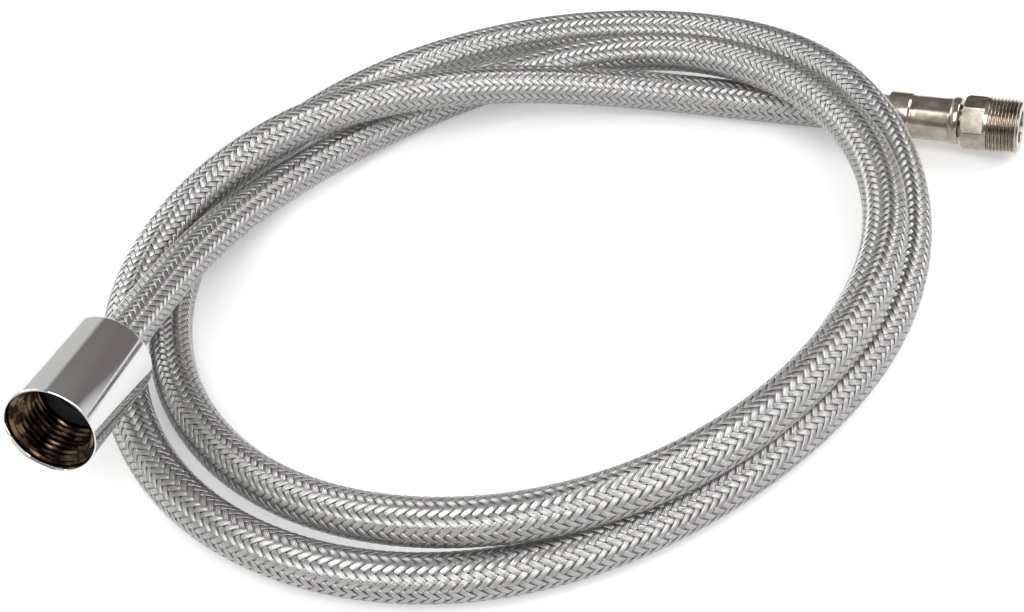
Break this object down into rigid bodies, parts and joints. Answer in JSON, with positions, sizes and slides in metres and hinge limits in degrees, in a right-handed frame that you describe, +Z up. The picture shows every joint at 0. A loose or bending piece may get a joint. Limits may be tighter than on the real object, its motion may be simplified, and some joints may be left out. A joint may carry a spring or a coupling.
{
  "type": "handheld bath sprayer hose",
  "caption": "Braided pull-out sprayer hose lying in loose loops, with a long smooth swivel nut on one end and a crimped hexagon connector with a fine external thread on the other.",
  "frame": {"origin": "under the middle of the hose as it lies, on the surface that it lies on", "axes": "+Z up; the mouth of the swivel nut faces -Y, tilted up 11 degrees; the outlet connector points mostly along +X"},
  "size_m": [0.2436, 0.2364, 0.0466],
  "materials": {
    "chrome": "bright chrome plating",
    "nickel": "satin nickel plating on brass",
    "brass": "plain turned brass",
    "braid": "silver braid of flat bundles with a soft sheen",
    "rubber": "matte black seal",
    "tube_rubber": "matte dark inner tube",
    "slip_plastic": "natural white acetal"
  },
  "bodies": {
    "hose": {"braided_sleeve": "braid", "inner_tube": "tube_rubber", "inlet_nipple": "brass", "inlet_ferrule": "nickel", "seal_washer": "rubber", "outlet_ferrule": "nickel", "outlet_connector": "nickel"},
    "slip_ring": {"bearing_ring": "slip_plastic"},
    "nut": {"swivel_nut": "chrome"}
  },
  "joints": [
    {"name": "nut_slide", "type": "slide", "parent": "hose", "child": "slip_ring", "axis": [-0.0167, 0.9829, -0.1833], "range_m": [0, 0.012]},
    {"name": "nut_spin", "type": "hinge", "parent": "slip_ring", "child": "nut", "pos_m": [-0.101, -0.1035, 0.0353], "axis": [-0.0167, 0.9829, -0.1833], "continuous": true}
  ]
}
